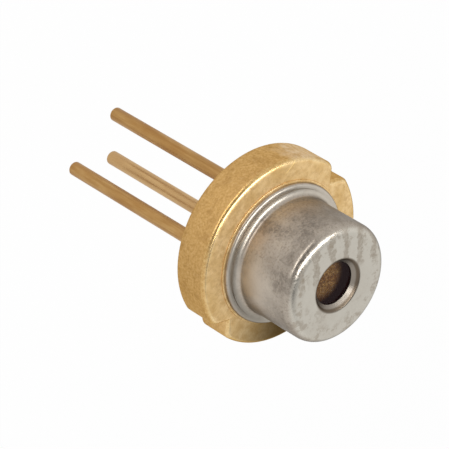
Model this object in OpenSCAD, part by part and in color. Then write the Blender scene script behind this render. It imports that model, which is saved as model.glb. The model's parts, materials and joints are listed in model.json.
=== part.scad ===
// Laser diode in a 5.6 mm metal can.
// Millimetres. The origin is the centre of the flange's front face, and +Z is the light's
// direction. The two sealed leads lie on X and the case lead is on the -Y side.

/* [Flange] */
// Diameter of the flange
flange_d = 5.6; // [5.2:0.1:6.4]
// Thickness of the flange
flange_t = 1.2; // [0.9:0.05:1.6]
// Radius that rounds the flange's two rims
flange_round = 0.16; // [0.06:0.01:0.2]
// Height of the raised land that the cap is welded to
land_h = 0.03; // [0.02:0.01:0.06]
// Width of the land that shows outside the cap's foot
land_margin = 0.06; // [0.04:0.01:0.10]

/* [Notches] */
// Depth of the two V notches
vee_depth = 0.4; // [0.25:0.05:0.45]
// Angle between the flanks of a V notch
vee_angle = 90; // [70:5:100]
// Depth of the square index notch
index_depth = 0.4; // [0.25:0.05:0.45]
// Width of the square index notch
index_w = 1.0; // [0.6:0.1:1.2]
// Radius that rounds the mouth corners of the V notches
mouth_round = 0.3; // [0.1:0.05:0.4]

/* [Leads] */
// Diameter of a lead
lead_d = 0.42; // [0.35:0.01:0.50]
// Length of a lead behind the flange
lead_len = 7.0; // [4:0.5:12]
// Diameter of the circle that the three leads stand on
lead_circle_d = 2.0; // [1.9:0.05:2.3]
// Length of a sealed lead in front of the flange
post_len = 0.8; // [0.5:0.05:1.0]
// Radius that rounds the tips of the leads
tip_round = 0.06; // [0.03:0.01:0.10]
// Depth of the pressed flat that the wire bonds to
bond_flat = 0.08; // [0.04:0.01:0.10]
// Height of the pressed flat
bond_flat_h = 0.45; // [0.3:0.05:0.48]

/* [Glass seals] */
// Diameter of the eyelet that a glass seal fills
seal_d = 0.95; // [0.85:0.05:1.05]
// Depth of the glass surface below the metal
seal_sink = 0.05; // [0.03:0.01:0.08]
// Height that the glass climbs along the lead
seal_climb = 0.04; // [0.02:0.01:0.05]

/* [Case lead] */
// Radius of the hollow braze fillet round the case lead's root
braze_r = 0.12; // [0.08:0.01:0.18]

/* [Cap] */
// Diameter of the cap's barrel
cap_d = 3.55; // [3.4:0.05:3.7]
// Height of the cap's front face above the flange
cap_h = 2.3; // [2.2:0.05:3.0]
// Wall thickness of the barrel
cap_wall = 0.15; // [0.12:0.01:0.18]
// Thickness of the cap's front wall
cap_front_t = 0.2; // [0.18:0.01:0.25]
// Outer radius of the front edge
cap_round = 0.29; // [0.2:0.01:0.3]
// Radius of the hollow fillet at the cap's foot
foot_fillet = 0.18; // [0.12:0.01:0.2]
// Diameter of the foot that is welded to the flange
foot_d = 4.2; // [4.15:0.05:4.4]
// Thickness of the foot
foot_t = 0.14; // [0.12:0.01:0.18]
// Radius that rounds the foot's outer rim
foot_round = 0.1; // [0.03:0.01:0.11]
// Height of the coined step where the foot meets the fillet
foot_step = 0.03; // [0.01:0.01:0.05]

/* [Window] */
// Diameter of the hole in the cap's front wall
aperture_d = 1.28; // [1.1:0.02:1.4]
// Radius that rounds the mouth of the hole
aperture_round = 0.16; // [0.08:0.01:0.17]
// Diameter of the glass disc
window_d = 2.3; // [2.0:0.1:2.5]
// Thickness of the glass disc
window_t = 0.25; // [0.2:0.05:0.3]
// Radius of the hollow fillet of solder glass round the disc
frit_r = 0.22; // [0.15:0.01:0.25]

/* [Light source] */
// Height of the emitting point above the flange's front face
emit_z = 1.27; // [1.2:0.01:1.35]
// Width of the laser chip
chip_w = 0.25; // [0.2:0.01:0.35]
// Thickness of the laser chip
chip_t = 0.1; // [0.08:0.01:0.12]
// Length of the laser chip along the light's direction
chip_len = 0.5; // [0.3:0.05:0.7]
// Width of the submount
submount_w = 0.6; // [0.5:0.02:0.6]
// Thickness of the submount
submount_t = 0.22; // [0.2:0.01:0.24]
// Length of the submount along the light's direction
submount_len = 0.8; // [0.75:0.01:0.82]
// Setback of the submount and the post behind the chip's front facet
facet_setback = 0.02; // [0.01:0.01:0.04]
// Radius of the heat sink post's outer wall
sink_r = 1.42; // [1.3:0.01:1.45]
// Width of the ledge that the post's front leaves on each side of the submount
sink_ledge = 0.22; // [0.18:0.01:0.24]
// Angle that each side of the post opens to the rear
sink_flare = 25; // [15:1:30]

/* [Monitor] */
// Width of the square monitor chip
monitor_w = 0.6; // [0.45:0.05:0.65]
// Thickness of the monitor chip
monitor_t = 0.2; // [0.15:0.01:0.25]
// Offset of the monitor chip from the optical axis
monitor_y = 0.2; // [0.1:0.02:0.3]
// Depth of the coined pocket that the monitor chip sits in
pocket_depth = 0.05; // [0.03:0.01:0.1]
// Clearance between the monitor chip and its pocket
pocket_gap = 0.04; // [0.02:0.01:0.06]

/* [Bond wires] */
// Diameter of a bond wire
wire_d = 0.03; // [0.02:0.005:0.05]
// Diameter of the pressed ball at a wire's end
ball_d = 0.08; // [0.07:0.01:0.1]
// Thickness of the pressed ball
ball_t = 0.02; // [0.01:0.005:0.03]
// Half of the angle that a wire's loop turns through
loop_angle = 65; // [55:1:75]

/* [Hidden] */
$fn = 96;
eps = 0.01;

flange_r = flange_d / 2;
back_z = -flange_t;
tip_z = back_z - lead_len;
lead_r = lead_d / 2;
lead_x = lead_circle_d / 2;
seal_r = seal_d / 2;
post_top_z = land_h + post_len;
flat_y = lead_r - bond_flat;
flat_mid_z = post_top_z - bond_flat_h / 2;

cap_r = cap_d / 2;
cap_inner_r = cap_r - cap_wall;
front_back_z = cap_h - cap_front_t;
foot_r = foot_d / 2;
foot_top_z = land_h + foot_t;
land_r = foot_r + land_margin;
aperture_r = aperture_d / 2;
window_r = window_d / 2;

chip_face_y = chip_t / 2;
submount_face_y = -chip_t / 2;
sink_face_y = submount_face_y - submount_t;
mount_top_z = emit_z - facet_setback;
chip_mid_z = emit_z - chip_len / 2;
submount_pad_x = (chip_w + submount_w) / 4;
sink_pad_x = (submount_w + sink_ledge) / 2;
pocket_z = land_h - pocket_depth;
pocket_w = monitor_w + 2 * pocket_gap;
monitor_top_z = pocket_z + monitor_t;

gold = "#c9a45a";
nickel = "#a8a39a";
copper = "#b98a52";
glass = "#3d5a52";

// Rectangle between two radii and two heights.
module band(r0, r1, z0, z1) {
    translate([r0, z0]) square([r1 - r0, z1 - z0]);
}

// What rounding a corner takes off; dx and dz point out of the solid.
module corner_waste(r, z, radius, dx, dz) {
    translate([r, z])
        mirror([dx < 0 ? 1 : 0, 0])
            mirror([0, dz < 0 ? 1 : 0])
                difference() {
                    translate([-radius, -radius]) square(radius + eps);
                    translate([-radius, -radius]) circle(radius, $fn = 48);
                }
}

// What a hollow fillet adds in a corner; dx and dz point into free space, and lap is how
// far it reaches into the two walls.
module corner_fill(r, z, radius, dx, dz, lap) {
    translate([r, z])
        mirror([dx < 0 ? 1 : 0, 0])
            mirror([0, dz < 0 ? 1 : 0])
                difference() {
                    translate([-lap, -lap]) square(radius + lap);
                    translate([radius, radius]) circle(radius, $fn = 48);
                }
}

// Round bar along Z whose rims are rounded where a radius is given.
module rounded_rod(radius, z0, z1, round_low, round_high) {
    rotate_extrude()
        difference() {
            band(0, radius, z0, z1);
            if (round_low > 0) corner_waste(radius, z0, round_low, 1, -1);
            if (round_high > 0) corner_waste(radius, z1, round_high, 1, 1);
        }
}

// V notch in plan, with its apex towards the axis and its mouth corners rounded.
module vee_plan() {
    half = vee_angle / 2;
    apex_r = flange_r - vee_depth;
    centre_r = flange_r - mouth_round;
    // Length of a flank up to where the rounding starts.
    flank = sqrt(centre_r ^ 2 - (apex_r * sin(half) - mouth_round) ^ 2) - apex_r * cos(half);
    flank_end = [apex_r + flank * cos(half), flank * sin(half)];
    centre = flank_end + mouth_round * [-sin(half), cos(half)];
    rim_end = centre * flange_r / centre_r;
    difference() {
        polygon([
            [apex_r, 0], flank_end, rim_end, rim_end + [vee_depth, 0],
            [rim_end[0] + vee_depth, -rim_end[1]], [rim_end[0], -rim_end[1]],
            [flank_end[0], -flank_end[1]],
        ]);
        for (side = [-1, 1])
            translate([centre[0], side * centre[1]]) circle(mouth_round, $fn = 48);
    }
}

// Everything that is punched right through the flange.
module flange_cuts() {
    for (side = [0, 180]) rotate(side) vee_plan();
    translate([-index_w / 2, -flange_r - index_depth]) square([index_w, 2 * index_depth]);
    for (x = [-lead_x, lead_x]) translate([x, 0]) circle(seal_r);
}

// Flange with its notches, weld land, eyelets and the pocket for the monitor chip.
module stem() {
    color(gold)
        difference() {
            union() {
                rounded_rod(flange_r, back_z, 0, flange_round, flange_round);
                rounded_rod(land_r, back_z / 2, land_h, 0, land_h / 2);
            }
            translate([0, 0, back_z - 1]) linear_extrude(flange_t + 2) flange_cuts();
            translate([-pocket_w / 2, monitor_y - pocket_w / 2, pocket_z])
                cube([pocket_w, pocket_w, 1]);
        }
}

// Copper post that carries the submount and takes the chip's heat to the flange.
module heat_sink() {
    front_x = submount_w / 2 + sink_ledge;
    rear_x = front_x + (sink_r + sink_face_y) * tan(sink_flare);
    color(copper)
        translate([0, 0, land_h])
            linear_extrude(mount_top_z - land_h)
                intersection() {
                    circle(sink_r);
                    polygon([
                        [-front_x, sink_face_y], [front_x, sink_face_y],
                        [rear_x, -sink_r], [-rear_x, -sink_r],
                    ]);
                }
}

// Ceramic plate between the post and the laser chip.
module submount() {
    color("#d8d4c4")
        translate([-submount_w / 2, sink_face_y, mount_top_z - submount_len])
            cube([submount_w, submount_t, submount_len]);
}

// Laser chip, centred on the optical axis, with its light leaving the upper facet.
module laser_chip() {
    color("#4a4450")
        translate([-chip_w / 2, submount_face_y, emit_z - chip_len])
            cube([chip_w, chip_t, chip_len]);
}

// Photodiode that catches the light of the laser chip's rear facet.
module monitor_chip() {
    color("#2e3440")
        translate([-monitor_w / 2, monitor_y - monitor_w / 2, pocket_z])
            cube([monitor_w, monitor_w, monitor_t]);
}

// Glass bead in an eyelet, with a meniscus up the lead at both faces.
module glass_seal(x) {
    low_z = back_z + seal_sink;
    high_z = land_h - seal_sink;
    color(glass)
        translate([x, 0, 0])
            rotate_extrude() {
                band(lead_r, seal_r, low_z, high_z);
                corner_fill(lead_r, high_z, seal_climb, 1, 1, 0);
                corner_fill(lead_r, low_z, seal_climb, 1, -1, 0);
            }
}

module seal_laser() {
    glass_seal(lead_x);
}

module seal_monitor() {
    glass_seal(-lead_x);
}

// Lead through a glass seal, with a pressed flat on its inner end for the bond wire.
module sealed_lead(x) {
    color(gold)
        translate([x, 0, 0])
            difference() {
                rounded_rod(lead_r, tip_z, post_top_z, tip_round, tip_round);
                translate([-lead_r - eps, flat_y, post_top_z - bond_flat_h])
                    cube([lead_d + 2 * eps, bond_flat + eps, bond_flat_h + eps]);
            }
}

module lead_laser() {
    sealed_lead(lead_x);
}

module lead_monitor() {
    sealed_lead(-lead_x);
}

// Lead that is butt-joined to the back of the flange.
module lead_case() {
    color(gold)
        translate([0, -lead_x, 0]) rounded_rod(lead_r, tip_z, back_z, tip_round, 0);
}

// Braze fillet round the root of the case lead.
module case_braze() {
    color(gold)
        translate([0, -lead_x, 0])
            rotate_extrude() corner_fill(lead_r, back_z, braze_r, 1, -1, 0);
}

// Half section of the hollow inside the cap, open at the foot.
module cap_hollow() {
    difference() {
        band(0, cap_inner_r, land_h - eps, front_back_z);
        corner_waste(cap_inner_r, front_back_z, cap_round - cap_wall, 1, 1);
    }
    corner_waste(cap_inner_r, land_h, foot_fillet, -1, -1);
}

// Drawn cap: welded foot, coined step, hollow fillet, barrel, rounded front and aperture.
module cap() {
    step_z = foot_top_z + foot_step;
    color(nickel)
        rotate_extrude()
            difference() {
                union() {
                    band(aperture_r, cap_r, land_h, cap_h);
                    band(cap_inner_r, foot_r, land_h, foot_top_z);
                    band(cap_inner_r, cap_r + foot_fillet, land_h, step_z);
                    corner_fill(cap_r, step_z, foot_fillet, 1, 1, eps);
                }
                cap_hollow();
                corner_waste(cap_r, cap_h, cap_round, 1, 1);
                corner_waste(foot_r, foot_top_z, foot_round, 1, 1);
                corner_waste(aperture_r, cap_h, aperture_round, -1, 1);
            }
}

// Glass disc behind the aperture.
module window() {
    color("#5a4a58", 0.6)
        translate([0, 0, front_back_z - window_t]) cylinder(h = window_t, r = window_r);
}

// Solder glass that fills the corner between the disc's edge and the cap's front wall.
module window_frit() {
    color("#57534c")
        rotate_extrude() corner_fill(window_r, front_back_z, frit_r, 1, -1, 0);
}

// Gold wire from a pad at the origin to one at [span, 0, rise]. Both pads face +Z.
module bond_wire(span, rise) {
    chord = norm([span, rise]);
    loop_r = chord / 2 / sin(loop_angle);
    color(gold) {
        cylinder(h = ball_t, r = ball_d / 2, $fn = 24);
        translate([span, 0, rise]) cylinder(h = ball_t, r = ball_d / 2, $fn = 24);
        translate([0, 0, ball_t / 2])
            rotate([0, -atan2(rise, span), 0])
                translate([chord / 2, 0, -loop_r * cos(loop_angle)])
                    rotate([90, 0, 0])
                        rotate(90 - loop_angle)
                            rotate_extrude(angle = 2 * loop_angle)
                                translate([loop_r, 0]) circle(wire_d / 2, $fn = 24);
    }
}

// The same between two pads that face +Y, from one point to the other.
module bond_wire_y(from, to) {
    run = to - from;
    translate(from)
        rotate([0, -atan2(run[2], run[0]), 0])
            rotate([-90, 0, 0])
                bond_wire(norm([run[0], run[2]]), run[1]);
}

// From the laser lead's flat to the submount's pad under the chip.
module wire_laser() {
    bond_wire_y([lead_x, flat_y, flat_mid_z], [submount_pad_x, submount_face_y, chip_mid_z]);
}

// From the top of the laser chip to the post.
module wire_chip() {
    bond_wire_y([0, chip_face_y, chip_mid_z], [-sink_pad_x, sink_face_y, chip_mid_z]);
}

// From the monitor chip up to the end of its lead.
module wire_monitor() {
    pad = [-monitor_w / 4, monitor_y + monitor_w / 4];
    run = [-lead_x, 0] - pad;
    translate([pad[0], pad[1], monitor_top_z])
        rotate(atan2(run[1], run[0]))
            bond_wire(norm(run), post_top_z - monitor_top_z);
}

stem();
heat_sink();
submount();
laser_chip();
monitor_chip();
seal_laser();
seal_monitor();
lead_laser();
lead_monitor();
lead_case();
case_braze();
cap();
window();
window_frit();
wire_laser();
wire_chip();
wire_monitor();
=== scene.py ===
"""Looks of a laser diode in a 5.6 mm can: fine surfaces, finishes, studio and camera."""
import json
import math

import bmesh
import bpy
from mathutils import Matrix, Vector


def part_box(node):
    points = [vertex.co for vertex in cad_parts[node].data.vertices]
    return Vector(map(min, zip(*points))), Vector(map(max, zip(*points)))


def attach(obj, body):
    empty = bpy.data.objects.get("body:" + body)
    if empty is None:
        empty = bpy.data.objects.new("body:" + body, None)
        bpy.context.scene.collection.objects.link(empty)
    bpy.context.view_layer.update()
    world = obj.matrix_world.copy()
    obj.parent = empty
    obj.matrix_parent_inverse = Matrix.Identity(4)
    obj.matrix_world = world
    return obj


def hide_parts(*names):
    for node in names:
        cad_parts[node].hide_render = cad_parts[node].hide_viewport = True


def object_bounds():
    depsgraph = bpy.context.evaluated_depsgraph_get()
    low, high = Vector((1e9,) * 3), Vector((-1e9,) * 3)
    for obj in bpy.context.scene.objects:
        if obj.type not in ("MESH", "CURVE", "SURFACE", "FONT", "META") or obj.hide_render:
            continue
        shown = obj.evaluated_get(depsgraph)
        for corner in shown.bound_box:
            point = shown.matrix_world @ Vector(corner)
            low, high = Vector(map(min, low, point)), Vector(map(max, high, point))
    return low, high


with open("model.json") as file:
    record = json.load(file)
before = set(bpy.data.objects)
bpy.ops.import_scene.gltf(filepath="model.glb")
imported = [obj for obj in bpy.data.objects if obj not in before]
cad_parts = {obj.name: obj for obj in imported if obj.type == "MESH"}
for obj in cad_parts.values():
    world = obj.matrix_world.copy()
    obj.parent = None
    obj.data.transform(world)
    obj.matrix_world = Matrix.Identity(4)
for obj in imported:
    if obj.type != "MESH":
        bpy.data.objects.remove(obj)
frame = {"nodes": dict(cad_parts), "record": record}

CAD_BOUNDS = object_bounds()
MM = 0.001
ROUND_STEPS = 256
CORNER_STEPS = 8
WIRE_STEPS = 64
DISC_STEPS = 128
EYELET_STEPS = 96
RIM_STEP_DEGREES = 1.25
SHARP_DEGREES = 35
FLANGE_SHARP_DEGREES = 30
TOUCHING = 1e-9

# ---------------------------------------------------------------- sizes from the frame


def mount(name):
    """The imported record's mount of that name."""
    return next(m for m in frame["record"]["mounts"] if m["name"] == name)


def axis_of(node):
    """Centre in plan, radius, and lowest and highest point of a round node."""
    low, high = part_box(node)
    centre = ((low[0] + high[0]) / 2, (low[1] + high[1]) / 2)
    return centre, (high[0] - low[0]) / 2, low[2], high[2]


RIM_R = mount("flange_rim")["dims"]["r_mm"] * MM
LEAD_R = mount("lead_case")["dims"]["r_mm"] * MM
EYELET_R = axis_of("seal_laser")[1]
(_, _, BACK_Z), (_, _, LAND_Z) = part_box("stem")
_, (FOOT_R, _, CAP_Z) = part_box("cap")
_, (_, _, WINDOW_Z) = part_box("window")

# Sizes that the boxes don't give, as the part's source has them.
RIM_ROUND = 0.16 * MM
VEE_DEPTH = 0.4 * MM
VEE_HALF_ANGLE = math.radians(45)
VEE_MOUTH_ROUND = 0.3 * MM
INDEX_DEPTH = 0.4 * MM
INDEX_W = 1.0 * MM
LAND_MARGIN = 0.06 * MM
CAP_R = 1.775 * MM
CAP_ROUND = 0.29 * MM
CAP_WALL = 0.15 * MM
FOOT_T = 0.14 * MM
FOOT_ROUND = 0.1 * MM
FOOT_STEP = 0.03 * MM
FOOT_FILLET = 0.18 * MM
APERTURE_R = 0.64 * MM
TIP_ROUND = 0.06 * MM

# Sizes of the details that only the scene has.
INDEX_INNER_ROUND = 0.1 * MM
INDEX_MOUTH_ROUND = 0.17 * MM
MOUTH_FLARE = 0.16 * MM
MOUTH_DEPTH = 0.16 * MM
MOUTH_ROUND = 0.07 * MM
LAND_SINK = 0.02 * MM
TIP_DOME = 0.002 * MM
TIP_DOME_SHARE = 0.4
TIP_CORNER_START = 278
MERGE_GAP = 0.0005 * MM

# ---------------------------------------------------------------- mesh tools


def arc(r, z, radius, start, end, steps=CORNER_STEPS):
    """Points on an arc round (r, z), from one angle to another in degrees."""
    turns = [math.radians(start + (end - start) * i / steps) for i in range(steps + 1)]
    return [(r + radius * math.cos(a), z + radius * math.sin(a)) for a in turns]


def shade(obj, sharp=SHARP_DEGREES):
    """Smooth shading with sharp edges kept and flat faces left flat."""
    obj.data.polygons.foreach_set("use_smooth", [True] * len(obj.data.polygons))
    obj.data.set_sharp_from_angle(angle=math.radians(sharp))
    weigh = obj.modifiers.new("weigh", "WEIGHTED_NORMAL")
    weigh.keep_sharp = True
    apply_modifiers(obj)
    return obj


def apply_modifiers(obj):
    """Bakes an object's modifiers into its mesh."""
    seen = obj.evaluated_get(bpy.context.evaluated_depsgraph_get())
    done = bpy.data.meshes.new_from_object(seen)
    obj.modifiers.clear()
    obj.data = done


def place(name, mesh):
    """A new object in the scene, riding on the one body."""
    obj = bpy.data.objects.new(name, mesh)
    bpy.context.scene.collection.objects.link(obj)
    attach(obj, "root")
    return obj


def lathe(name, profile, centre=(0, 0), steps=ROUND_STEPS, closed=False):
    """Surface of revolution of (radius, height) points round an upright axis.

    The UV map is in millimetres: round the axis, and along the profile.
    """
    mesh = bpy.data.meshes.new(name)
    bm = bmesh.new()
    uv = bm.loops.layers.uv.new("turned")
    rings = []
    for r, z in profile:
        if r < TOUCHING:
            rings.append([bm.verts.new((centre[0], centre[1], z))])
            continue
        turns = [2 * math.pi * i / steps for i in range(steps)]
        plan = [(centre[0] + r * math.cos(a), centre[1] + r * math.sin(a)) for a in turns]
        rings.append([bm.verts.new((x, y, z)) for x, y in plan])
    pairs = list(zip(range(len(profile)), range(1, len(profile))))
    if closed:
        pairs.append((len(profile) - 1, 0))
    travelled = 0.0
    for low, high in pairs:
        step = math.dist(profile[low], profile[high])
        for i in range(steps):
            j = (i + 1) % steps
            a, b = rings[low], rings[high]
            if len(a) == 1 and len(b) == 1:
                continue
            if len(a) == 1:
                corners, marks = [a[0], b[j], b[i]], [(i, 0), (i + 1, 1), (i, 1)]
            elif len(b) == 1:
                corners, marks = [a[i], a[j], b[0]], [(i, 0), (i + 1, 0), (i, 1)]
            else:
                corners = [a[i], a[j], b[j], b[i]]
                marks = [(i, 0), (i + 1, 0), (i + 1, 1), (i, 1)]
            face = bm.faces.new(corners)
            for loop, (across, along) in zip(face.loops, marks):
                loop[uv].uv = (across / steps, (travelled + along * step) / MM)
        travelled += step
    bmesh.ops.recalc_face_normals(bm, faces=bm.faces)
    bm.to_mesh(mesh)
    bm.free()
    return shade(place(name, mesh))


# ---------------------------------------------------------------- flange


def polar(radius, degrees):
    """Plan point at a radius and an angle."""
    return (radius * math.cos(math.radians(degrees)), radius * math.sin(math.radians(degrees)))


def turned(points, degrees):
    """Plan points turned round the axis."""
    turn = Matrix.Rotation(math.radians(degrees), 2)
    return [tuple(turn @ Vector(p)) for p in points]


def mirrored(points):
    """Plan points followed by their mirror image across X, without repeating one on X."""
    back = [(x, -y) for x, y in reversed(points)]
    return points + (back[1:] if abs(points[-1][1]) < TOUCHING else back)


def vee_notch():
    """Plan points of the V notch on +X, in turning order, and the angle where it ends."""
    half = VEE_HALF_ANGLE
    apex_r = RIM_R - VEE_DEPTH
    centre_r = RIM_R - VEE_MOUTH_ROUND
    flank = math.sqrt(centre_r**2 - (apex_r * math.sin(half) - VEE_MOUTH_ROUND) ** 2)
    flank -= apex_r * math.cos(half)
    centre = (
        apex_r + flank * math.cos(half) - VEE_MOUTH_ROUND * math.sin(half),
        flank * math.sin(half) + VEE_MOUTH_ROUND * math.cos(half),
    )
    at_rim = math.degrees(math.atan2(centre[1], centre[0]))
    at_flank = math.degrees(half) - 90
    mouth = arc(centre[0], -centre[1], VEE_MOUTH_ROUND, -at_rim, -at_flank, 12)
    return mirrored(mouth + [(apex_r, 0)]), at_rim


def index_notch():
    """Plan points of the square notch, made on +X, and the angle where it ends."""
    half_w = INDEX_W / 2
    floor = RIM_R - INDEX_DEPTH
    centre_y = half_w + INDEX_MOUTH_ROUND
    centre_x = math.sqrt((RIM_R - INDEX_MOUTH_ROUND) ** 2 - centre_y**2)
    at_rim = math.degrees(math.atan2(centre_y, centre_x))
    inner = INDEX_INNER_ROUND
    side = arc(centre_x, -centre_y, INDEX_MOUTH_ROUND, -at_rim, 90, 12)
    side += arc(floor + inner, -half_w + inner, inner, 270, 180, 6)
    return mirrored(side), at_rim


def flange_plan():
    """The flange's outline: the rim with its two V notches and its index notch."""
    vee, vee_edge = vee_notch()
    index, index_edge = index_notch()

    def rim(start, end):
        count = round((end - start) / RIM_STEP_DEGREES)
        return [polar(RIM_R, start + (end - start) * i / count) for i in range(1, count)]

    return (
        vee
        + rim(vee_edge, 180 - vee_edge)
        + turned(vee, 180)
        + rim(180 + vee_edge, 270 - index_edge)
        + turned(index, 270)
        + rim(270 + index_edge, 360 - vee_edge)
    )


def add_loop(curve, points):
    """A closed straight-sided spline in a flat curve."""
    spline = curve.splines.new("POLY")
    spline.points.add(len(points) - 1)
    for point, (x, y) in zip(spline.points, points):
        point.co = (x, y, 0, 1)
    spline.use_cyclic_u = True
    spline.use_smooth = True


def flange():
    """The flange as one extruded outline, with its eyelets and its rolled edges."""
    curve = bpy.data.curves.new("flange", "CURVE")
    curve.dimensions = "2D"
    curve.fill_mode = "BOTH"
    add_loop(curve, flange_plan())
    for node in ("seal_laser", "seal_monitor"):
        (x, y), _, _, _ = axis_of(node)
        eyelet = arc(0, 0, EYELET_R, 0, 360 - 360 / EYELET_STEPS, EYELET_STEPS - 1)
        add_loop(curve, [(x + px, y + py) for px, py in eyelet])
    thickness = -BACK_Z
    curve.extrude = thickness / 2 - RIM_ROUND
    curve.bevel_depth = RIM_ROUND
    curve.bevel_resolution = 6
    curve.offset = -RIM_ROUND
    shaped = bpy.data.objects.new("flange_curve", curve)
    bpy.context.scene.collection.objects.link(shaped)
    mesh = bpy.data.meshes.new_from_object(
        shaped.evaluated_get(bpy.context.evaluated_depsgraph_get()))
    bpy.data.objects.remove(shaped)
    mesh.transform(Matrix.Translation((0, 0, -thickness / 2)))
    bm = bmesh.new()
    bm.from_mesh(mesh)
    bmesh.ops.remove_doubles(bm, verts=bm.verts, dist=MERGE_GAP)
    bmesh.ops.recalc_face_normals(bm, faces=bm.faces)
    bm.to_mesh(mesh)
    bm.free()
    return shade(place("flange", mesh), FLANGE_SHARP_DEGREES)


def weld_land():
    """The low coined land that the cap's foot stands on."""
    outer = FOOT_R + LAND_MARGIN
    edge = LAND_Z / 2
    profile = [(CAP_R, -LAND_SINK), (CAP_R, LAND_Z)]
    profile += arc(outer - edge, LAND_Z - edge, edge, 90, 0, 4) + [(outer, -LAND_SINK)]
    return lathe("weld_land", profile, closed=True)


# ---------------------------------------------------------------- cap, window, leads and seals


def cap():
    """The drawn cap, inside and out."""
    inner_r = CAP_R - CAP_WALL
    inner_round = CAP_ROUND - CAP_WALL
    foot_top = LAND_Z + FOOT_T
    step = foot_top + FOOT_STEP
    fillet_r = CAP_R + FOOT_FILLET
    outside = [(FOOT_R, LAND_Z)]
    outside += arc(FOOT_R - FOOT_ROUND, foot_top - FOOT_ROUND, FOOT_ROUND, 0, 90)
    outside += [(fillet_r, foot_top)]
    outside += arc(fillet_r, step + FOOT_FILLET, FOOT_FILLET, 270, 180, 16)
    outside += [(CAP_R, (step + CAP_Z) / 2)]
    outside += arc(CAP_R - CAP_ROUND, CAP_Z - CAP_ROUND, CAP_ROUND, 0, 90, 24)
    slope = math.atan2(MOUTH_DEPTH, MOUTH_FLARE)
    mouth_r = APERTURE_R + MOUTH_FLARE + MOUTH_ROUND * math.tan(slope / 2)
    outside += arc(mouth_r, CAP_Z - MOUTH_ROUND, MOUTH_ROUND, 90, 90 + math.degrees(slope))
    outside += [(APERTURE_R, CAP_Z - MOUTH_DEPTH)]
    inside = [(APERTURE_R, WINDOW_Z)]
    inside += arc(inner_r - inner_round, WINDOW_Z - inner_round, inner_round, 90, 0)
    inside += arc(inner_r + FOOT_FILLET, LAND_Z + FOOT_FILLET, FOOT_FILLET, 180, 270)
    return lathe("cap_shell", outside + inside, closed=True)


def window():
    """The glass disc behind the aperture."""
    _, radius, low, high = axis_of("window")
    profile = [(0, low), (radius, low), (radius, high), (0, high)]
    return lathe("window_disc", profile, steps=DISC_STEPS)


def lead(node):
    """A drawn wire with a slightly domed, cropped tip."""
    centre, _, low, high = axis_of(node)
    profile = [(0, low), (LEAD_R * TIP_DOME_SHARE, low + TIP_DOME)]
    profile += arc(LEAD_R - TIP_ROUND, low + TIP_ROUND, TIP_ROUND, TIP_CORNER_START, 360)
    profile += [(LEAD_R, low + (high - low) * i / 12) for i in range(1, 12)]
    profile += [(LEAD_R, high), (0, high)]
    return lathe(node + "_wire", profile, centre, steps=WIRE_STEPS)


# ---------------------------------------------------------------- node tools for materials


def new_material(name):
    """A material with its Principled shader."""
    material = bpy.data.materials.new(name)
    material.use_nodes = True
    return material, material.node_tree, material.node_tree.nodes["Principled BSDF"]


def feed(tree, socket, value):
    """Links a socket to another, or sets its value."""
    if isinstance(value, bpy.types.NodeSocket):
        tree.links.new(value, socket)
    else:
        socket.default_value = value


def add(tree, kind, inputs=None, **settings):
    """A node with its settings made and its inputs fed."""
    node = tree.nodes.new(kind)
    for key, value in settings.items():
        setattr(node, key, value)
    for key, value in (inputs or {}).items():
        feed(tree, node.inputs[key], value)
    return node


def position(tree, stretch=(1, 1, 1), shift=(0, 0, 0)):
    """Place on the object in millimetres, stretched and shifted."""
    where = add(tree, "ShaderNodeTexCoord")
    scale = tuple(s / MM for s in stretch)
    mapping = add(tree, "ShaderNodeMapping", {
        "Vector": where.outputs["Object"], "Scale": scale, "Location": shift})
    return mapping.outputs["Vector"]


def parts_of(tree, vector):
    """The X, Y and Z outputs of a vector."""
    return add(tree, "ShaderNodeSeparateXYZ", {"Vector": vector}).outputs


def noise(tree, vector, scale, detail=4, rough=0.55):
    """Noise value between 0 and 1 at so many features a millimetre."""
    return add(tree, "ShaderNodeTexNoise", {
        "Vector": vector, "Scale": scale, "Detail": detail, "Roughness": rough}).outputs["Fac"]


def ramp(tree, value, stops):
    """Colour ramp through (place, colour) stops."""
    node = add(tree, "ShaderNodeValToRGB", {"Fac": value})
    points = node.color_ramp.elements
    while len(points) < len(stops):
        points.new(0.5)
    for point, (place_at, colour) in zip(points, stops):
        point.position = place_at
        point.color = (*colour, 1)
    return node.outputs["Color"]


def between(tree, value, low, high, to_low=0.0, to_high=1.0):
    """Value carried smoothly from one range to another, and kept inside it."""
    return add(tree, "ShaderNodeMapRange", {
        "Value": value, "From Min": low, "From Max": high,
        "To Min": to_low, "To Max": to_high}, interpolation_type="SMOOTHSTEP").outputs["Result"]


def maths(tree, kind, a, b=0.0):
    """One step of arithmetic."""
    node = add(tree, "ShaderNodeMath", operation=kind)
    feed(tree, node.inputs[0], a)
    feed(tree, node.inputs[1], b)
    return node.outputs[0]


def product(tree, a, b):
    """Two values multiplied."""
    return maths(tree, "MULTIPLY", a, b)


def total(tree, a, b):
    """Two values added."""
    return maths(tree, "ADD", a, b)


def mix(tree, amount, a, b):
    """Two colours mixed."""
    node = add(tree, "ShaderNodeMix", data_type="RGBA")
    feed(tree, node.inputs["Factor"], amount)
    feed(tree, node.inputs[6], a if isinstance(a, bpy.types.NodeSocket) else (*a, 1))
    feed(tree, node.inputs[7], b if isinstance(b, bpy.types.NodeSocket) else (*b, 1))
    return node.outputs[2]


def blend(tree, amount, a, b):
    """Two values mixed."""
    node = add(tree, "ShaderNodeMix", data_type="FLOAT")
    feed(tree, node.inputs["Factor"], amount)
    feed(tree, node.inputs[2], a)
    feed(tree, node.inputs[3], b)
    return node.outputs[0]


def bump(tree, height, depth_mm):
    """Surface relief of that depth."""
    return add(tree, "ShaderNodeBump", {
        "Height": height, "Distance": depth_mm * MM, "Strength": 1.0}).outputs["Normal"]


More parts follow.
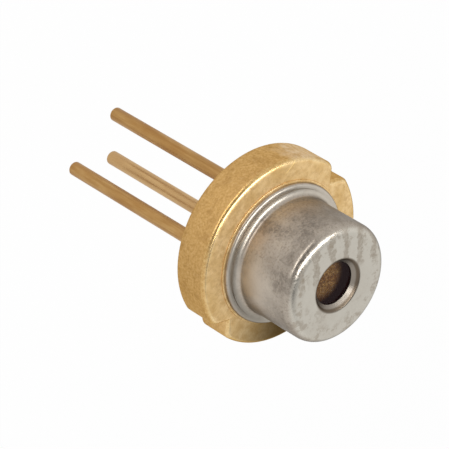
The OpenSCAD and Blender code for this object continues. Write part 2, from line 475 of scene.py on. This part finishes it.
def facing_up(tree):
    """How far the surface faces along +Z, from -1 to 1."""
    return parts_of(tree, add(tree, "ShaderNodeNewGeometry").outputs["Normal"])["Z"]


def faces_front(tree):
    """1 where the surface faces along +Z and 0 where it faces sideways."""
    return between(tree, facing_up(tree), 0.5, 0.97)


def on_edge(tree):
    """1 on the rounded edges between the front and side surfaces."""
    up = facing_up(tree)
    return product(tree, between(tree, up, 0.08, 0.3), between(tree, up, 0.85, 0.98, 1.0, 0.0))


def srgb(red, green, blue):
    """Linear colour of a display colour from 0 to 255."""
    def straight(c):
        c /= 255
        return c / 12.92 if c <= 0.04045 else ((c + 0.055) / 1.055) ** 2.4
    return tuple(straight(c) for c in (red, green, blue))


# ---------------------------------------------------------------- marks on the part, and painted light and shade

# Each patch is its angle round the axis in degrees, its height and its size in millimetres.
# Darker patches on the barrel: the first three, in a line up its side, are a stain; the rest,
# higher up towards the front edge, are painted shade along that edge.
STAINS_AND_EDGE_SHADE = (
    ((88, 0.4, 0.3), 0.75),
    ((85, 0.75, 0.3), 0.75),
    ((83, 1.15, 0.32), 0.6),
    ((62, 1.4, 0.6), 0.6),
    ((78, 1.8, 0.6), 0.6),
    ((100, 1.85, 0.4), 0.55),
    ((125, 1.9, 0.5), 0.6),
)
# A painted reflection of the gold flange low on the barrel, and a larger paler patch further
# round.
BARREL_REFLECTION_AND_PALE_PATCHES = (
    ((100, 0.4, 0.55), srgb(192, 170, 148), 0.3),
    ((142, 0.9, 1.0), srgb(206, 196, 183), 0.7),
)
# Painted shade on one side of the cap's foot and painted light on the other.
FOOT_SHADE_AND_LIGHT = (
    ((180, 0.2, 1.6), srgb(112, 105, 95), 0.85),
    ((-5, 0.2, 1.6), srgb(212, 202, 188), 0.85),
)
# Painted sheen: paler patches on the flange's rim, where light falls on it.
RIM_SHEEN = (
    ((28, -0.5, 1.0), srgb(232, 212, 182), 0.8),
    ((180, -0.3, 0.8), srgb(238, 208, 154), 0.75),
)
FOOT_MIDDLE_R = 1.98
# Where the cap's painted shadow lies on the flange's front, as an angle round the axis in
# degrees.
CAP_SHADOW_AT = -120
SCRATCH_START = (1.63, 1.81)
SCRATCH_END = (2.07, 1.80)
SCRATCH_WIDTH = 0.014
SCRATCH_FADE = 0.03
FINGER_ACROSS = (0.79, -0.61)
FINGER_PITCH = 0.53
LIT_INSIDE_CENTRE = (-0.135, 0.495)


def on_line(tree, where, way, start=(0, 0)):
    """How far a place lies along a plan direction, in millimetres from a start."""
    x = product(tree, where["X"], way[0])
    y = product(tree, where["Y"], way[1])
    return maths(tree, "SUBTRACT", total(tree, x, y), way[0] * start[0] + way[1] * start[1])


def stain_and_light_patch(tree, patch, radius=CAP_R / MM):
    """1 inside a ragged patch on an upright surface of that radius."""
    degrees, height, size = patch
    x, y = polar(radius, degrees)
    wobble = add(tree, "ShaderNodeTexNoise", {
        "Vector": position(tree), "Scale": 2.2, "Detail": 4})
    rough_place = add(tree, "ShaderNodeVectorMath", operation="ADD")
    feed(tree, rough_place.inputs[0], position(tree))
    feed(tree, rough_place.inputs[1], wobble.outputs["Color"])
    gap = add(tree, "ShaderNodeVectorMath", operation="DISTANCE")
    feed(tree, gap.inputs[0], rough_place.outputs[0])
    # The noise adds a half on average.
    gap.inputs[1].default_value = (x + 0.5, y + 0.5, height + 0.5)
    return between(tree, gap.outputs["Value"], size * 0.25, size * 1.1, 1.0, 0.0)


def handling_scratch(tree):
    """1 along the straight scratch on the flange's front face."""
    where = parts_of(tree, position(tree))
    run = Vector(SCRATCH_END) - Vector(SCRATCH_START)
    along, across = run.normalized(), Vector((-run.y, run.x)).normalized()
    travelled = on_line(tree, where, along, SCRATCH_START)
    aside = maths(tree, "ABSOLUTE", on_line(tree, where, across, SCRATCH_START))
    thin = between(tree, aside, SCRATCH_WIDTH / 2, SCRATCH_WIDTH, 1.0, 0.0)
    begun = between(tree, travelled, 0.0, SCRATCH_FADE)
    ended = between(tree, travelled, run.length, run.length + SCRATCH_FADE, 1.0, 0.0)
    return product(tree, product(tree, thin, product(tree, begun, ended)), faces_front(tree))


def finger_marks(tree, where, speckle):
    """1 in the dull strips that wiping left across one side of the cap's front face."""
    across = on_line(tree, where, FINGER_ACROSS)
    along = on_line(tree, where, (-FINGER_ACROSS[1], FINGER_ACROSS[0]))
    wander = noise(tree, position(tree), 2.4, 3)
    swung = total(tree, across, product(tree, wander, 0.5))
    wave = maths(tree, "COSINE", product(tree, swung, 2 * math.pi / FINGER_PITCH))
    strips = between(tree, total(tree, wave, product(tree, speckle, 2.2)), 1.2, 1.8)
    reach = total(tree, along, product(tree, wander, 0.7))
    cloud = noise(tree, position(tree, shift=(3, 1, 0)), 1.7, 5, 0.7)
    patches = between(tree, cloud, 0.56, 0.64)
    upper = product(tree, strips, between(tree, reach, 0.45, 0.85))
    lower = product(tree, patches, between(tree, reach, -0.1, 0.4, 0.6, 0.0))
    on_front = between(tree, where["Z"], CAP_Z / MM - 0.2, CAP_Z / MM - 0.05)
    return product(tree, maths(tree, "MAXIMUM", upper, lower), on_front)


# ---------------------------------------------------------------- materials

# Display colours of the finishes in plain light, some with painted light or shade as marked; a
# ramp's stops come with their places.
RIM_TONES = ((0.25, srgb(172, 134, 78)), (0.5, srgb(204, 166, 106)), (0.8, srgb(226, 194, 140)))
RIM_SPOTS = srgb(158, 118, 66)
# The front's own mottled tones, painted paler than the rim's as light falls on the front.
LIT_FRONT_TONES = ((0.3, srgb(222, 190, 132)), (0.7, srgb(246, 220, 172)))
# Colour of the cap's painted shadow on the flange's front.
CAP_SHADOW_TONE = srgb(84, 64, 34)
SCRATCH = srgb(255, 226, 160)
GOLD_GLINT = (0.6, 0.5, 0.35, 1)
LEAD_TONES = ((0.25, srgb(158, 116, 66)), (0.55, srgb(182, 142, 88)), (0.85, srgb(204, 168, 114)))
LEAD_SPOTS = srgb(166, 120, 66)
PALE_LEAD = srgb(222, 190, 142)
BARREL_TONES = (
    (0.3, srgb(150, 139, 126)), (0.5, srgb(168, 158, 146)), (0.72, srgb(182, 171, 157)))
BARREL_GRAIN = srgb(124, 113, 101)
# Colour of the barrel's stain and of the painted shade near its front edge.
STAIN_AND_SHADE_TONE = srgb(104, 95, 86)
# The front face's tones, painted paler than the barrel's as light falls on the front.
LIT_FACE = srgb(202, 197, 186)
LIT_FACE_CLOUD = srgb(190, 182, 169)
WIPED = srgb(166, 156, 142)
SMUDGED = srgb(158, 146, 130)
# Painted shade on the cap's foot.
FOOT_SHADE = srgb(176, 168, 156)
# Painted shade in the aperture's flared mouth.
MOUTH_SHADE = srgb(142, 134, 124)
MOUTH_BAND = srgb(98, 86, 72)
NICKEL_GLINT = (0.5, 0.5, 0.5, 1)
# The gold inside seen through the window, painted on the glass: painted light as speckled golden
# brown, turning nearly black further from its centre.
LIT_INSIDE_TONES = (
    (0.36, srgb(64, 43, 28)), (0.5, srgb(106, 78, 48)),
    (0.6, srgb(138, 108, 68)), (0.67, srgb(216, 186, 136)))
LIT_INSIDE_RED = srgb(84, 48, 32)
DARK_INSIDE = srgb(24, 8, 9)


def gold_plate():
    """Satin gold on the flange: grained on the rim with a painted sheen, and on the front
    mottled, painted paler and with the cap's painted shadow.
    """
    material, tree, shader = new_material("gold_plate")
    where = position(tree)
    grain = noise(tree, where, 14, 5, 0.65)
    cloud = noise(tree, where, 1.6, 3)
    spots = between(tree, noise(tree, where, 3.2, 5, 0.7), 0.45, 0.7, 0.0, 0.35)
    rim = mix(tree, spots, ramp(tree, grain, RIM_TONES), RIM_SPOTS)
    mottling = between(tree, noise(tree, where, 5, 6, 0.75), 0.4, 0.65, 0.0, 0.55)
    front = mix(tree, mottling, ramp(tree, cloud, LIT_FRONT_TONES), rim)
    broken = between(tree, noise(tree, where, 6, 5, 0.7), 0.35, 0.65, 0.3, 1.0)
    # Painted sheen on the rim, broken up by noise.
    for patch, tone, most in RIM_SHEEN:
        sheen = product(tree, stain_and_light_patch(tree, patch, RIM_R / MM), most)
        rim = mix(tree, product(tree, sheen, broken), rim, tone)
    # Painted shadow of the cap on the flange's front, darkest at one angle round the axis.
    sides = parts_of(tree, where)
    round_axis = maths(tree, "ARCTAN2", sides["Y"], sides["X"])
    turn = maths(tree, "SUBTRACT", round_axis, math.radians(CAP_SHADOW_AT))
    cap_shadow = between(tree, maths(tree, "ABSOLUTE", turn), 0.1, 1.15, 0.95, 0.0)
    front = mix(tree, cap_shadow, front, CAP_SHADOW_TONE)
    # The front, painted paler than the rim, over the rim's tones on the sides.
    colour = mix(tree, faces_front(tree), rim, front)
    colour = mix(tree, handling_scratch(tree), colour, SCRATCH)
    feed(tree, shader.inputs["Base Color"], colour)
    shader.inputs["Metallic"].default_value = 1.0
    rough = between(tree, grain, 0.2, 0.8, 0.55, 0.70)
    feed(tree, shader.inputs["Roughness"], blend(tree, on_edge(tree), rough, 0.26))
    shader.inputs["Specular Tint"].default_value = GOLD_GLINT
    feed(tree, shader.inputs["Normal"], bump(tree, grain, 0.006))
    return material


def lead_gold(name, paleness):
    """Drawn gold-plated wire: long soft streaks along the lead."""
    material, tree, shader = new_material(name)
    streak = noise(tree, position(tree, (1, 1, 0.08)), 9, 4, 0.6)
    patch = noise(tree, position(tree, (1, 1, 0.5)), 2.2, 3)
    colour = ramp(tree, streak, LEAD_TONES)
    colour = mix(tree, between(tree, patch, 0.35, 0.7, 0.0, 0.5), colour, LEAD_SPOTS)
    colour = mix(tree, paleness, colour, PALE_LEAD)
    feed(tree, shader.inputs["Base Color"], colour)
    shader.inputs["Metallic"].default_value = 1.0
    feed(tree, shader.inputs["Roughness"], between(tree, patch, 0.2, 0.8, 0.36, 0.48))
    feed(tree, shader.inputs["Normal"], bump(tree, streak, 0.002))
    return material


def barrel_colour(tree, grain, cloud, speckle):
    """Mottled, stained nickel on the cap's upright wall, with painted shade near its front edge,
    a painted reflection of the gold flange and a paler patch.
    """
    barrel = ramp(tree, cloud, BARREL_TONES)
    barrel = mix(tree, between(tree, grain, 0.45, 0.75, 0.0, 0.65), barrel, BARREL_GRAIN)
    # Stains, and painted shade near the front edge.
    for patch, most in STAINS_AND_EDGE_SHADE:
        ragged = between(tree, speckle, 0.38, 0.6, 0.15, most)
        barrel = mix(tree, product(tree, stain_and_light_patch(tree, patch), ragged), barrel, STAIN_AND_SHADE_TONE)
    # Painted reflection of the gold flange, and a paler patch.
    for patch, tone, most in BARREL_REFLECTION_AND_PALE_PATCHES:
        barrel = mix(tree, product(tree, stain_and_light_patch(tree, patch), most), barrel, tone)
    return barrel


def face_colour(tree, where, radius, cloud, speckle, marks):
    """Nickel on the cap's front face, painted paler than the barrel, with its smudges, and on its
    foot, with painted shade there and painted shade and light on its two sides.
    """
    # The front face, painted paler than the barrel.
    front = mix(tree, between(tree, cloud, 0.4, 0.75, 0.0, 0.4), LIT_FACE, LIT_FACE_CLOUD)
    front = mix(tree, marks, front, WIPED)
    smear = noise(tree, position(tree, shift=(0, 2, 5)), 3.2, 6, 0.75)
    smudges = product(
        tree, between(tree, smear, 0.5, 0.6, 0.0, 0.55), between(tree, radius, 1.0, 1.4))
    front = mix(tree, smudges, front, SMUDGED)
    # Painted shade on the cap's foot.
    foot = between(tree, where["Z"], 0.25, 0.45, 0.6, 0.0)
    front = mix(tree, foot, front, FOOT_SHADE)
    # Painted shade on one side of the foot and painted light on the other.
    for patch, tone, most in FOOT_SHADE_AND_LIGHT:
        foot_shade_and_light = product(tree, stain_and_light_patch(tree, patch, FOOT_MIDDLE_R), most)
        front = mix(tree, product(tree, foot_shade_and_light, foot), front, tone)
    return front


def nickel_cap():
    """Satin nickel: stained barrel with painted shade and a painted reflection, wiped front face
    painted paler, dull mouth with painted shade, and burnished corners.
    """
    material, tree, shader = new_material("nickel_cap")
    place_on = position(tree)
    where = parts_of(tree, place_on)
    flat_place = add(tree, "ShaderNodeVectorMath", {"Vector": place_on}, operation="MULTIPLY")
    flat_place.inputs[1].default_value = (1, 1, 0)
    length = add(tree, "ShaderNodeVectorMath", operation="LENGTH")
    feed(tree, length.inputs[0], flat_place.outputs[0])
    radius = length.outputs["Value"]
    grain = noise(tree, place_on, 16, 5, 0.6)
    cloud = noise(tree, place_on, 1.3, 4, 0.6)
    speckle = noise(tree, place_on, 9, 6, 0.75)
    ragged = between(tree, speckle, 0.35, 0.6, 0.25, 0.8)
    marks = product(tree, finger_marks(tree, where, speckle), ragged)
    barrel = barrel_colour(tree, grain, cloud, speckle)
    front = face_colour(tree, where, radius, cloud, speckle, marks)
    colour = mix(tree, faces_front(tree), barrel, front)
    mouth_r = (APERTURE_R + MOUTH_FLARE) / MM
    mouth = between(tree, radius, mouth_r - 0.02, mouth_r + 0.05, 1.0, 0.0)
    band = product(tree, mouth, between(tree, radius, mouth_r - 0.09, mouth_r - 0.05))
    # Painted shade in the mouth, and a darker band on its outer part.
    colour = mix(tree, mouth, colour, MOUTH_SHADE)
    colour = mix(tree, product(tree, band, 0.9), colour, MOUTH_BAND)
    feed(tree, shader.inputs["Base Color"], colour)
    shader.inputs["Metallic"].default_value = 1.0
    rough = between(tree, grain, 0.2, 0.8, 0.34, 0.46)
    rough = total(tree, rough, product(tree, marks, 0.12))
    at_front = between(tree, where["Z"], 1.2, 1.8)
    burnish = blend(tree, at_front, 0.36, between(tree, speckle, 0.4, 0.62, 0.19, 0.36))
    rough = blend(tree, on_edge(tree), rough, burnish)
    feed(tree, shader.inputs["Roughness"], blend(tree, mouth, rough, 0.36))
    shader.inputs["Specular Tint"].default_value = NICKEL_GLINT
    feed(tree, shader.inputs["Normal"], bump(tree, grain, 0.002))
    return material


def two_tone(name, dark, light, rough, scale, depth, metallic):
    """Two tones in a fine grain, for the small pieces."""
    material, tree, shader = new_material(name)
    grain = noise(tree, position(tree), scale, 4)
    tones = ramp(tree, grain, ((0.3, dark), (0.7, light)))
    feed(tree, shader.inputs["Base Color"], tones)
    shader.inputs["Metallic"].default_value = metallic
    shader.inputs["Roughness"].default_value = rough
    feed(tree, shader.inputs["Normal"], bump(tree, grain, depth))
    return material


def plain_metal(name, dark, light, rough):
    """Small metal piece."""
    return two_tone(name, dark, light, rough, scale=18, depth=0.002, metallic=1.0)


def plain_solid(name, dark, light, rough):
    """Ceramic, semiconductor or fused glass."""
    return two_tone(name, dark, light, rough, scale=12, depth=0.001, metallic=0.0)


def window_glass():
    """Glass with the lit gold inside painted on it as speckled golden brown, turning to nearly
    black.
    """
    material, tree, shader = new_material("window_glass")
    where = parts_of(tree, position(tree))
    speckle = noise(tree, position(tree), 15, 6, 0.8)
    redder = between(tree, noise(tree, position(tree), 1.5, 2), 0.4, 0.65, 0.0, 0.5)
    brown = mix(tree, redder, ramp(tree, speckle, LIT_INSIDE_TONES), LIT_INSIDE_RED)
    # Painted light of the lit inside round a centre, turning nearly black away from it.
    aside = maths(tree, "SUBTRACT", where["X"], LIT_INSIDE_CENTRE[0])
    above = maths(tree, "SUBTRACT", where["Y"], LIT_INSIDE_CENTRE[1])
    squares = total(tree, product(tree, aside, aside), product(tree, above, above))
    away = total(tree, maths(tree, "SQRT", squares), product(tree, speckle, 0.12))
    tint = mix(tree, between(tree, away, 0.5, 0.85), brown, DARK_INSIDE)
    feed(tree, shader.inputs["Base Color"], tint)
    shader.inputs["Roughness"].default_value = 0.06
    shader.inputs["IOR"].default_value = 1.5
    shader.inputs["Specular IOR Level"].default_value = 0.07
    shader.inputs["Alpha"].default_value = 0.8
    return material


# ---------------------------------------------------------------- dressing the part


def dress(obj, material):
    """Gives the whole object one material."""
    obj.data.materials.clear()
    obj.data.materials.append(material)
    for face in obj.data.polygons:
        face.material_index = 0


def dress_node(node, material):
    """Gives a CAD node a better material."""
    obj = frame["nodes"][node]
    for slot in obj.material_slots:
        slot.material = material


def dress_part():
    """Puts the fine surfaces in place of the plain ones, and finishes every piece."""
    gold = gold_plate()
    wire_gold = lead_gold("lead_gold", 0.0)
    pale_gold = lead_gold("lead_gold_pale", 0.4)
    base = flange()
    dress(base, gold)
    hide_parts("stem")
    land = weld_land()
    dress(land, gold)
    shell = cap()
    dress(shell, nickel_cap())
    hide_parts("cap")
    glass = window()
    dress(glass, window_glass())
    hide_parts("window")
    for node in ("lead_laser", "lead_monitor", "lead_case"):
        wire = lead(node)
        dress(wire, pale_gold if node == "lead_case" else wire_gold)
        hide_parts(node)
    seal = plain_solid("seal_glass", srgb(34, 40, 38), srgb(62, 72, 66), 0.25)
    braze = plain_metal("braze", srgb(176, 140, 78), srgb(206, 176, 118), 0.4)
    post = plain_metal("post_gold", srgb(180, 132, 60), srgb(222, 180, 104), 0.32)
    ceramic = plain_solid("aln_ceramic", srgb(190, 182, 160), srgb(222, 216, 198), 0.5)
    laser_die = plain_solid("laser_die", srgb(52, 46, 58), srgb(90, 82, 96), 0.2)
    monitor_die = plain_solid("monitor_die", srgb(26, 30, 42), srgb(52, 58, 78), 0.15)
    frit = plain_solid("frit_glass", srgb(58, 52, 46), srgb(92, 84, 74), 0.5)
    bond_wire = plain_metal("bond_wire", srgb(214, 170, 84), srgb(240, 204, 122), 0.25)
    finishes = {
        "seal_laser": seal,
        "seal_monitor": seal,
        "case_braze": braze,
        "heat_sink": post,
        "submount": ceramic,
        "laser_chip": laser_die,
        "monitor_chip": monitor_die,
        "window_frit": frit,
        "wire_laser": bond_wire,
        "wire_chip": bond_wire,
        "wire_monitor": bond_wire,
    }
    for node, finish in finishes.items():
        dress_node(node, finish)


# ---------------------------------------------------------------- studio and camera

AIM = Vector((-0.32, 1.06, -1.33)) * MM
CAMERA_AZIMUTH = 98.83
CAMERA_ELEVATION = 40.41
CAMERA_DISTANCE = 82.44 * MM
CAMERA_ROLL = 120.88
CAMERA_LENS = 240.5
CAMERA_SENSOR = 36
FLOOR_DROP = 17 * MM
FLOOR_SIZE = 4
FLOOR_TONE = (0.93, 0.93, 0.93, 1)
FLOOR_GLOW = 0.95
WHITE = (1, 1, 1, 1)
# The tent's level falls towards straight up and towards the camera: where it starts to fall and
# where it has fallen, as the cosine of the angle, and the level it falls to.
OVERHEAD = (0.68, 0.92, 0.3)
CAMERA_SIDE = (0.7, 0.95, 0.35)
CAMERA_SIDE_DROP = 6


def direction(azimuth, elevation):
    """Unit vector at an azimuth from +X and an elevation above the flange, in degrees."""
    a, e = math.radians(azimuth), math.radians(elevation)
    return Vector((math.cos(a) * math.cos(e), math.sin(a) * math.cos(e), math.sin(e)))


def camera():
    """Camera at the photograph's viewing angle."""
    data = bpy.data.cameras.new("camera")
    data.lens = CAMERA_LENS
    data.sensor_width = CAMERA_SENSOR
    data.clip_start = 1 * MM
    data.clip_end = 10
    obj = bpy.data.objects.new("camera", data)
    bpy.context.scene.collection.objects.link(obj)
    towards = direction(CAMERA_AZIMUTH, CAMERA_ELEVATION)
    upright = towards.to_track_quat("Z", "Y").to_matrix()
    roll = Matrix.Rotation(math.radians(CAMERA_ROLL), 3, "Z")
    stand = Matrix.Translation(AIM + towards * CAMERA_DISTANCE)
    obj.matrix_world = stand @ (upright @ roll).to_4x4()
    bpy.context.scene.camera = obj


def softbox(name, azimuth, elevation, distance, width, height, radiance):
    """Rectangular lamp that faces the part; radiance 1 is the level of a white background."""
    data = bpy.data.lights.new(name, "AREA")
    data.shape = "RECTANGLE"
    data.size = width
    data.size_y = height
    data.energy = radiance * math.pi * width * height
    obj = bpy.data.objects.new(name, data)
    bpy.context.scene.collection.objects.link(obj)
    away = direction(azimuth, elevation)
    facing = away.to_track_quat("Z", "Y").to_matrix()
    obj.matrix_world = Matrix.Translation(away * distance) @ facing.to_4x4()
    obj.visible_camera = False


def studio_world():
    """White tent, darker overhead and on the side that the camera looks from."""
    world = bpy.data.worlds.new("tent")
    bpy.context.scene.world = world
    world.use_nodes = True
    tree = world.node_tree
    tree.nodes.clear()
    way = add(tree, "ShaderNodeTexCoord").outputs["Generated"]
    start, end, least = OVERHEAD
    overhead = between(tree, parts_of(tree, way)["Z"], start, end, 1.0, least)
    aimed = add(tree, "ShaderNodeVectorMath", operation="DOT_PRODUCT")
    feed(tree, aimed.inputs[0], way)
    feed(tree, aimed.inputs[1], direction(CAMERA_AZIMUTH, CAMERA_ELEVATION - CAMERA_SIDE_DROP))
    start, end, least = CAMERA_SIDE
    behind_camera = between(tree, aimed.outputs["Value"], start, end, 1.0, least)
    seen = add(tree, "ShaderNodeLightPath").outputs["Is Camera Ray"]
    level = blend(tree, seen, product(tree, overhead, behind_camera), 1.0)
    sky = add(tree, "ShaderNodeBackground", {"Color": WHITE, "Strength": level})
    out = add(tree, "ShaderNodeOutputWorld")
    tree.links.new(sky.outputs[0], out.inputs["Surface"])


def studio_floor():
    """Plain white floor under the held part, which keeps its shadow."""
    level = CAD_BOUNDS[0][2] - FLOOR_DROP
    bpy.ops.mesh.primitive_plane_add(size=FLOOR_SIZE, location=(0, 0, level))
    floor = bpy.context.object
    floor.name = "floor"
    material, tree, shader = new_material("floor")
    shader.inputs["Base Color"].default_value = FLOOR_TONE
    shader.inputs["Roughness"].default_value = 1.0
    shader.inputs["Specular IOR Level"].default_value = 0.0
    rays = add(tree, "ShaderNodeLightPath")
    seen = maths(tree, "MAXIMUM", rays.outputs["Is Camera Ray"], rays.outputs["Is Glossy Ray"])
    seen = maths(tree, "MAXIMUM", seen, rays.outputs["Is Transmission Ray"])
    glow = add(tree, "ShaderNodeEmission", {"Color": WHITE, "Strength": 1.0})
    mixed = add(tree, "ShaderNodeMixShader", {"Fac": product(tree, seen, FLOOR_GLOW)})
    tree.links.new(shader.outputs[0], mixed.inputs[1])
    tree.links.new(glow.outputs[0], mixed.inputs[2])
    tree.links.new(mixed.outputs[0], tree.nodes["Material Output"].inputs["Surface"])
    floor.data.materials.append(material)


def studio():
    """Floor, tent and two softboxes."""
    studio_floor()
    studio_world()
    softbox("low_softbox", azimuth=90, elevation=-3, distance=45 * MM,
            width=45 * MM, height=7 * MM, radiance=4)
    softbox("high_softbox", azimuth=62, elevation=66, distance=50 * MM,
            width=62 * MM, height=13 * MM, radiance=8)


dress_part()
studio()
camera()
bpy.context.scene.view_settings.view_transform = "Standard"
